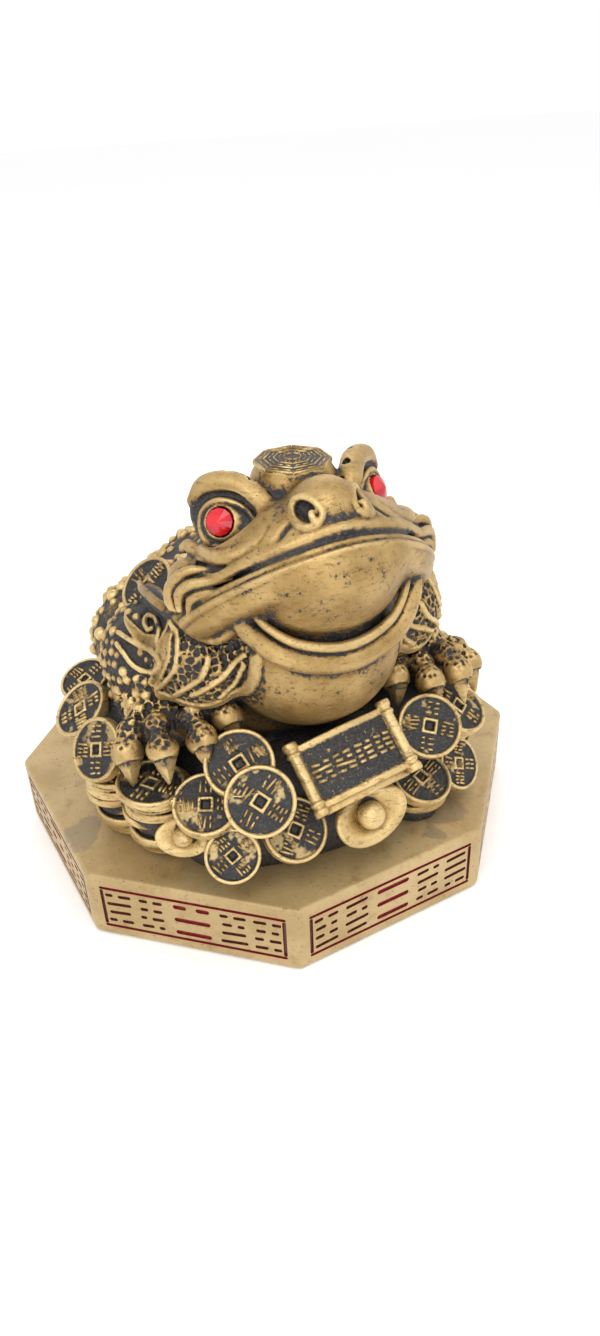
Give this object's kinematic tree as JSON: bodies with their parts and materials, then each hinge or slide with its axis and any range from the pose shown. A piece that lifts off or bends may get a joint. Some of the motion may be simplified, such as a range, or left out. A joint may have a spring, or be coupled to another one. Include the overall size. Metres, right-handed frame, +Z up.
{
  "type": "money toad figure",
  "caption": "Cast toad squatting on a heap of coins with a scroll and ingots, set gem eyes, on an eight-sided plinth with engraved panels.",
  "frame": {"origin": "middle of the plinth's underside", "axes": "+Z up, the plinth's flats face X and Y, the toad looks along -Y and a little towards -X"},
  "size_m": [0.1386, 0.1386, 0.1215],
  "materials": {
    "plinth_gold": "gold paint, worn, with grey stains and dark red filled engraving",
    "antique_gold": "rubbed antique gold over black patina in the hollows",
    "red_gem": "clear red set stone with a many-sided point"
  },
  "bodies": {
    "root": {"plinth": "plinth_gold", "toad_on_coins": "antique_gold", "eye_gem_left": "red_gem", "eye_gem_right": "red_gem"}
  },
  "joints": []
}
